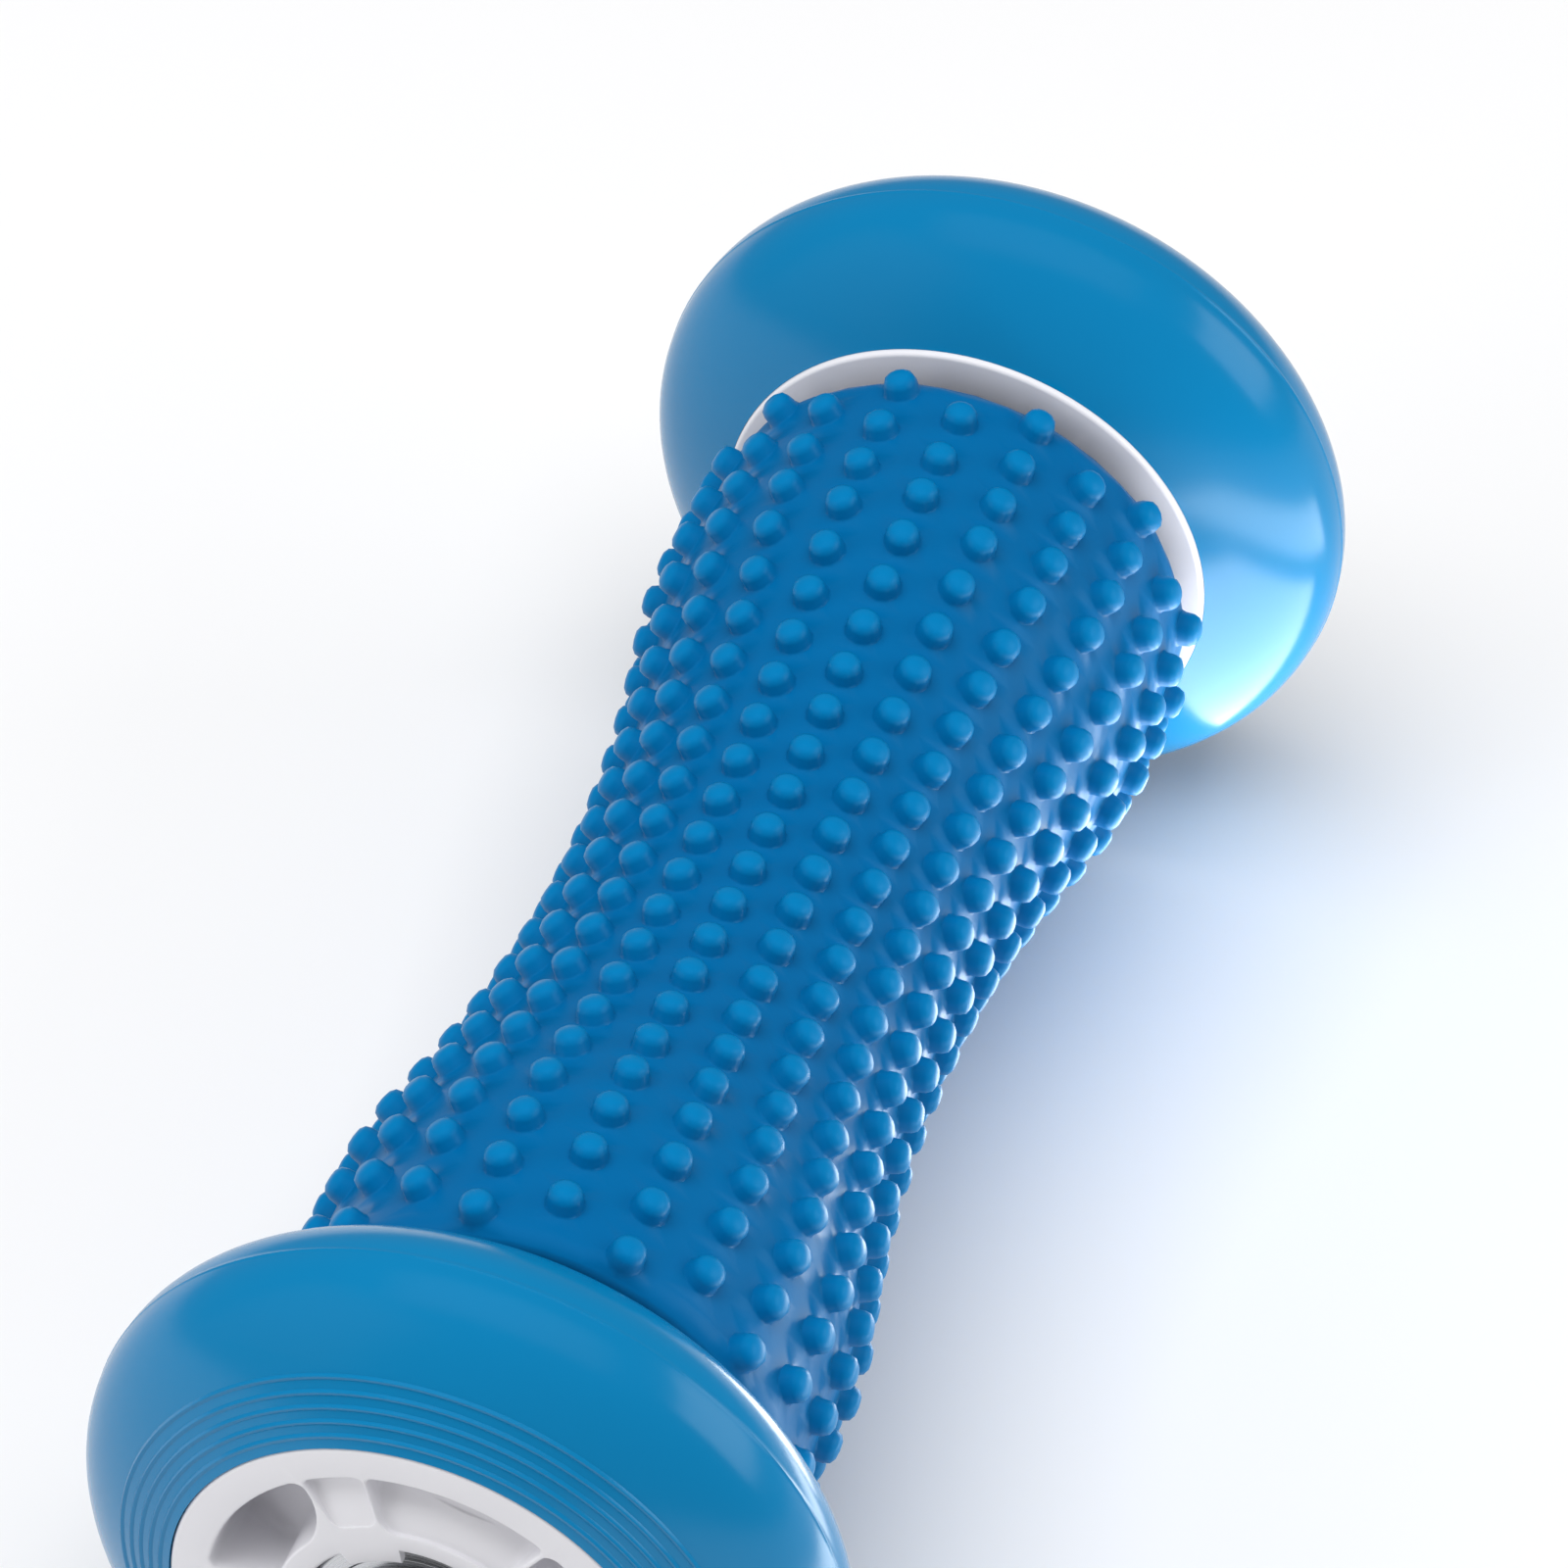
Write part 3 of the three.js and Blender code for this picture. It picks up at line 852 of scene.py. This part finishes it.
def makeSleeve(material):
    piece = makeFlatSleeve()
    wrapSleeve(piece)
    editPiece(piece)
    tidyMesh(sleeve["touching"])
    for sign in (-1, 1):
        last = placeAlong(sign * (sleeve["evenTiles"] + sleeve["endTiles"]))
        pickEdges(piece, lambda edge: edge.is_boundary and edge.verts[0].co.x * sign > 0)
        rim = sleeveRadius(last) - roller["halfNub"]
        stops = [sleeve["halfLength"] - sleeve["endEdge"] * share for share in sleeve["edgeShares"]]
        levels = [(sign * stop, rim - endDrop(stop)) for stop in stops]
        levels.append((sign * stops[-1], boreRadius(last)))
        levels += [(sign * x, boreRadius(x)) for x in sleeve["boreStations"]]
        for before, after in zip(levels, levels[1:]):
            share = after[1] / before[1]
            bpy.ops.mesh.extrude_region_move(TRANSFORM_OT_translate={"value": (after[0] - before[0], 0, 0)})
            bpy.ops.transform.resize(value=(1, share, share), center_override=(0, 0, axleHeight))
    # The bridge runs straight between the two bores, and its cuts are then brought in to the waist
    pickEdges(piece, lambda edge: edge.is_boundary)
    bpy.ops.mesh.bridge_edge_loops(number_cuts=sleeve["bridgeCuts"])
    bpy.ops.mesh.select_mode(type="VERT")
    cage = bmesh.from_edit_mesh(piece.data)
    for vertex in cage.verts:
        radius = math.hypot(vertex.co.y, vertex.co.z - axleHeight)
        onBore = radius < boreRadius(vertex.co.x) + sleeve["boreMargin"]
        if onBore and abs(vertex.co.x) < sleeve["bridgeReach"]:
            share = boreRadius(vertex.co.x) / radius
            vertex.co.y *= share
            vertex.co.z = axleHeight + (vertex.co.z - axleHeight) * share
    bmesh.update_edit_mesh(piece.data)
    tidyMesh(sleeve["mergeDistance"])
    leaveEdit()
    return finishPiece(piece, "massageSleeve", "massage_roller", "massage_sleeve", material,
                       sleeve["smoothDegrees"])


core = {"gap": 0.12, "wall": 2.6, "stations": 24, "steps": 72}


def makeCore(material):
    low, high = spanOf("roller_core")
    stations = [low + (high - low) * i / core["stations"] for i in range(core["stations"] + 1)]
    gap, wall = core["gap"], core["wall"]
    outline = [(x, boreRadius(x) - gap) for x in stations]
    outline += [(x, boreRadius(x) - gap - wall) for x in reversed(stations)]
    piece = turnPiece(outline, core["steps"])
    return finishPiece(piece, "rollerCore", "massage_roller", "roller_core", material)


# The cap's face has a rim, a sunk ring and a raised boss round the bore

cap = {
    "stepGap": 0.1,
    "rimGap": 0.15,
    "bore": 6.6,
    "bossWidth": 2.0,
    "rimWidth": 2.4,
    "sunk": 0.9,
    "slant": 0.6,
    "plugRound": 0.4,
    "rimRound": 0.5,
    "faceRound": 0.3,
    "smallRound": 0.1,
    "boreRound": 0.15,
    "steps": 96,
}


def makeCap(side, sign, material):
    node = f"{side}_core_cap"
    low, high = spanOf(node)
    face, back = (high, low) if sign > 0 else (low, high)
    coreEnd = spanOf("roller_core")[1 if sign > 0 else 0]
    step = coreEnd + sign * cap["stepGap"]
    rim = boreRadius(coreEnd) - cap["rimGap"]
    plug = boreRadius(coreEnd) - core["gap"] - core["wall"] - cap["stepGap"]
    recess = face - sign * cap["sunk"]
    bore, slant, soft = cap["bore"], cap["slant"], cap["plugRound"]
    ringOuter, ringInner = rim - cap["rimWidth"], bore + cap["bossWidth"]
    corners = [
        (back, plug, soft), (step, plug, 0), (step, rim, cap["smallRound"]), (face, rim, cap["rimRound"]),
        (face, ringOuter, cap["faceRound"]), (recess, ringOuter - slant, soft),
        (recess, ringInner + slant, soft), (face, ringInner, cap["faceRound"]),
        (face, bore, cap["boreRound"]), (back, bore, cap["boreRound"]),
    ]
    piece = turnPiece(roundedOutline(corners, arcSteps=3), cap["steps"])
    return finishPiece(piece, f"{side}CoreCap", "massage_roller", node, material)


bush = {
    "radius": 6.52,
    "capGap": 0.08,
    "endRound": 0.3,
    "flangeBack": 0.15,
    "flangeFace": 0.2,
    "steps": 72,
}


def makeBush(side, sign, material):
    node = f"{side}_roller_bush"
    low, high = spanOf(node)
    face, back = (high, low) if sign > 0 else (low, high)
    step = spanOf(f"{side}_core_cap")[1 if sign > 0 else 0] + sign * bush["capGap"]
    bore, body, flange, soft = hardware["bore"], bush["radius"], radiusOf(node), bush["endRound"]
    corners = [
        (back, body, soft), (step, body, 0), (step, flange, bush["flangeBack"]),
        (face, flange, bush["flangeFace"]), (face, bore, soft), (back, bore, soft),
    ]
    piece = turnPiece(roundedOutline(corners, arcSteps=3), bush["steps"])
    return finishPiece(piece, f"{side}RollerBush", "massage_roller", node, material)


# Materials

def newMaterial(name):
    material = bpy.data.materials.new(name)
    material.use_nodes = True
    nodes, links = material.node_tree.nodes, material.node_tree.links
    return material, nodes, links, nodes["Principled BSDF"]


def addNoise(nodes, links, scale, detail=3.0, rough=0.5):
    place = nodes.new("ShaderNodeTexCoord")
    noise = nodes.new("ShaderNodeTexNoise")
    noise.inputs["Scale"].default_value = scale
    noise.inputs["Detail"].default_value = detail
    noise.inputs["Roughness"].default_value = rough
    links.new(place.outputs["Object"], noise.inputs["Vector"])
    return noise


def mapRange(nodes, links, source, low, high):
    ranged = nodes.new("ShaderNodeMapRange")
    ranged.inputs["To Min"].default_value = low
    ranged.inputs["To Max"].default_value = high
    links.new(source, ranged.inputs["Value"])
    return ranged.outputs["Result"]


def mixColours(nodes, links, share, first, second):
    mix = nodes.new("ShaderNodeMix")
    mix.data_type = "RGBA"
    mix.inputs["A"].default_value = (*first, 1)
    mix.inputs["B"].default_value = (*second, 1)
    links.new(share, mix.inputs["Factor"])
    return mix.outputs["Result"]


def addBump(nodes, links, shader, height, strength, distance):
    bump = nodes.new("ShaderNodeBump")
    bump.inputs["Strength"].default_value = strength
    bump.inputs["Distance"].default_value = distance
    links.new(height, bump.inputs["Height"])
    links.new(bump.outputs["Normal"], shader.inputs["Normal"])


# Depths are in metres, and dark and light are linear colours that the noise mixes

finishes = {
    "tyre": {
        "dark": (0.000, 0.176, 0.392), "light": (0.000, 0.190, 0.418), "roughness": (0.17, 0.22),
        "grainScale": 900, "grainDepth": 0.00001, "specular": 0.42, "specularTint": (0.75, 0.92, 1, 1),
    },
    "sleeve": {
        # the colour mixed into the nub tops is painted light, lighter as if lit from above
        "dark": (0.000, 0.118, 0.318), "light": (0.000, 0.130, 0.338), "paintedTopLight": (0.000, 0.180, 0.430),
        "roughness": (0.34, 0.42),
        "grainScale": 1400, "grainDepth": 0.00002, "specular": 0.22, "specularTint": (0.5, 0.82, 1, 1),
    },
    "white": {
        "dark": (0.75, 0.745, 0.785), "light": (0.81, 0.805, 0.84), "roughness": (0.28, 0.38),
        "grainScale": 700, "grainDepth": 0.00002,
    },
    "core": {
        "dark": (0.030, 0.036, 0.045), "light": (0.045, 0.052, 0.064), "roughness": (0.5, 0.6),
        "grainScale": 1100, "grainDepth": 0.00004,
    },
    "bright": {"dark": (0.60, 0.61, 0.63), "light": (0.66, 0.67, 0.69), "roughness": (0.20, 0.28)},
    "bearing": {"dark": (0.52, 0.53, 0.55), "light": (0.57, 0.58, 0.60), "roughness": (0.25, 0.34)},
}
moulding = {
    "cloudScale": 45,
    "cloudDetail": 2.0,
    "grainDetail": 4.0,
    "grainRough": 0.6,
    "grainStrength": 0.25,
}


def makeMoulded(name, finish):
    material, nodes, links, shader = newMaterial(name)
    cloud = addNoise(nodes, links, moulding["cloudScale"], moulding["cloudDetail"])
    grain = addNoise(nodes, links, finish["grainScale"], moulding["grainDetail"], moulding["grainRough"])
    colour = mixColours(nodes, links, cloud.outputs["Fac"], finish["dark"], finish["light"])
    links.new(colour, shader.inputs["Base Color"])
    links.new(mapRange(nodes, links, grain.outputs["Fac"], *finish["roughness"]), shader.inputs["Roughness"])
    addBump(nodes, links, shader, grain.outputs["Fac"], moulding["grainStrength"], finish["grainDepth"])
    if "specular" in finish:
        shader.inputs["Specular IOR Level"].default_value = finish["specular"]
        shader.inputs["Specular Tint"].default_value = finish["specularTint"]
    return material


# Painted light: the nub tops are mixed towards a lighter blue by their height, as if lit from above, so the
# rubber between them reads as painted shade

def makeSleeveRubber():
    finish = finishes["sleeve"]
    material = makeMoulded("sleeveRubber", finish)
    nodes, links = material.node_tree.nodes, material.node_tree.links
    shader = nodes["Principled BSDF"]
    raised = nodes.new("ShaderNodeAttribute")
    raised.attribute_name = "nubHeight"
    base = shader.inputs["Base Color"].links[0].from_socket
    # painted highlight on the nub tops, mixed in by nub height
    paintedTopLight = nodes.new("ShaderNodeMix")
    paintedTopLight.data_type = "RGBA"
    paintedTopLight.inputs["B"].default_value = (*finish["paintedTopLight"], 1)
    links.new(raised.outputs["Fac"], paintedTopLight.inputs["Factor"])
    links.new(base, paintedTopLight.inputs["A"])
    links.new(paintedTopLight.outputs["Result"], shader.inputs["Base Color"])
    return material


# Turned steel: fine rings round the axle

turning = {"ringScale": 900, "distortion": 0.3, "detail": 2, "strength": 0.05, "depth": 0.000004}


def makeSteel(name, finish):
    material, nodes, links, shader = newMaterial(name)
    shader.inputs["Metallic"].default_value = 1.0
    place = nodes.new("ShaderNodeTexCoord")
    centred = nodes.new("ShaderNodeMapping")
    centred.inputs["Location"].default_value = (0, 0, -axleHeight * mm)
    links.new(place.outputs["Object"], centred.inputs["Vector"])
    rings = nodes.new("ShaderNodeTexWave")
    rings.wave_type = "RINGS"
    rings.rings_direction = "X"
    rings.inputs["Scale"].default_value = turning["ringScale"]
    rings.inputs["Distortion"].default_value = turning["distortion"]
    rings.inputs["Detail"].default_value = turning["detail"]
    links.new(centred.outputs["Vector"], rings.inputs["Vector"])
    colour = mixColours(nodes, links, rings.outputs["Fac"], finish["dark"], finish["light"])
    links.new(colour, shader.inputs["Base Color"])
    links.new(mapRange(nodes, links, rings.outputs["Fac"], *finish["roughness"]), shader.inputs["Roughness"])
    addBump(nodes, links, shader, rings.outputs["Fac"], turning["strength"], turning["depth"])
    return material


# Camera, floor and lights

view = {
    "place": (-0.5516, -0.1942, 0.6113),
    "forward": (0.68828, 0.23817, -0.68523),
    "right": (0.32701, -0.94502, 0.0),
    "lens": 198.29,
    "sensor": 36.0,
    "nearest": 0.05,
}


def makeCamera():
    forward, right = Vector(view["forward"]).normalized(), Vector(view["right"]).normalized()
    up = right.cross(forward).normalized()
    lens = bpy.data.cameras.new("camera")
    lens.lens = view["lens"]
    lens.sensor_width = view["sensor"]
    lens.sensor_fit = "HORIZONTAL"
    lens.clip_start = view["nearest"]
    camera = bpy.data.objects.new("camera", lens)
    turn = Matrix((right, up, -forward)).transposed()
    camera.matrix_world = Matrix.Translation(view["place"]) @ turn.to_4x4()
    bpy.context.scene.collection.objects.link(camera)
    bpy.context.scene.camera = camera


paper = {"size": 6, "cloudScale": 3, "dark": (0.86, 0.86, 0.87), "light": (0.9, 0.9, 0.9), "roughness": 0.9}


def makeFloor():
    bpy.ops.object.select_all(action="DESELECT")
    bpy.ops.mesh.primitive_plane_add(size=paper["size"], location=(0, 0, 0))
    floor = bpy.context.object
    floor.name = "floor"
    material, nodes, links, shader = newMaterial("floorPaper")
    cloud = addNoise(nodes, links, paper["cloudScale"], moulding["cloudDetail"])
    colour = mixColours(nodes, links, cloud.outputs["Fac"], paper["dark"], paper["light"])
    links.new(colour, shader.inputs["Base Color"])
    shader.inputs["Roughness"].default_value = paper["roughness"]
    floor.data.materials.append(material)


# A light that is not mirrored lights the object but isn't seen in its gloss

studio = {
    "overhead": {
        "place": (-0.15, 0, 1.3), "aim": (0, 0, 0.03), "size": (1.4, 1), "watts": 17, "mirrored": False,
    },
    "rightBox": {
        "place": (0.2, -1.1, 0.6), "aim": (0.03, 0, 0.03), "size": (1, 0.6), "watts": 4, "mirrored": True,
    },
    "leftFill": {
        "place": (-0.7, 0.9, 0.6), "aim": (0, 0, 0.03), "size": (1, 1), "watts": 5, "mirrored": False,
    },
    "wheelGlow": {  # low beside the right wheel, for the bright patch on its tyre
        "place": (0.045, -0.05, 0.002), "aim": (0.045, -0.05, 1), "size": (0.06, 0.045), "watts": 0.06,
        "mirrored": True,
    },
    "sideGlow": {  # low along the roller's side
        "place": (0, -0.12, 0.002), "aim": (0, -0.09, 1), "size": (0.18, 0.06), "watts": 0.2,
        "mirrored": True,
    },
}
surroundings = {"colour": (1, 1, 1, 1), "strength": 0.22}


def makeLights():
    for name, box in studio.items():
        light = bpy.data.lights.new(name, "AREA")
        light.shape = "RECTANGLE"
        light.size, light.size_y = box["size"]
        light.energy = box["watts"]
        lamp = bpy.data.objects.new(name, light)
        lamp.location = box["place"]
        aim = Vector(box["aim"]) - Vector(box["place"])
        lamp.rotation_euler = aim.to_track_quat("-Z", "Y").to_euler()
        lamp.visible_camera = False
        lamp.visible_glossy = box["mirrored"]
        bpy.context.scene.collection.objects.link(lamp)
    world = bpy.data.worlds.new("studioWorld")
    world.use_nodes = True
    background = world.node_tree.nodes["Background"]
    background.inputs["Color"].default_value = surroundings["colour"]
    background.inputs["Strength"].default_value = surroundings["strength"]
    bpy.context.scene.world = world
    bpy.context.scene.view_settings.view_transform = "Standard"


makeCamera()
makeFloor()
makeLights()
print("camera, floor and lights are in place")

tyreRubber = makeMoulded("tyreRubber", finishes["tyre"])
sleeveRubber = makeSleeveRubber()
whitePlastic = makeMoulded("whitePlastic", finishes["white"])
corePlastic = makeMoulded("corePlastic", finishes["core"])
brightSteel = makeSteel("brightSteel", finishes["bright"])
bearingSteel = makeSteel("bearingSteel", finishes["bearing"])
print("materials are mixed")

for sideName in wheelSides:
    makeTyre(sideName, tyreRubber)
makeHubs(whitePlastic)
print("wheels are turned and their hubs cut")

makeBearings(bearingSteel)
makeAxle(brightSteel)
for sideName in wheelSides:
    makeNut(sideName, brightSteel)
    for title, node in ringNodes.items():
        makeRing(f"{sideName}{title}", f"{sideName}_{node}", brightSteel)
print("bearings and axle hardware are fitted")

makeCore(corePlastic)
for sideName, sideSign in wheelSides.items():
    makeCap(sideName, sideSign, corePlastic)
    makeBush(sideName, sideSign, whitePlastic)
makeSleeve(sleeveRubber)
print("massage roller is built")
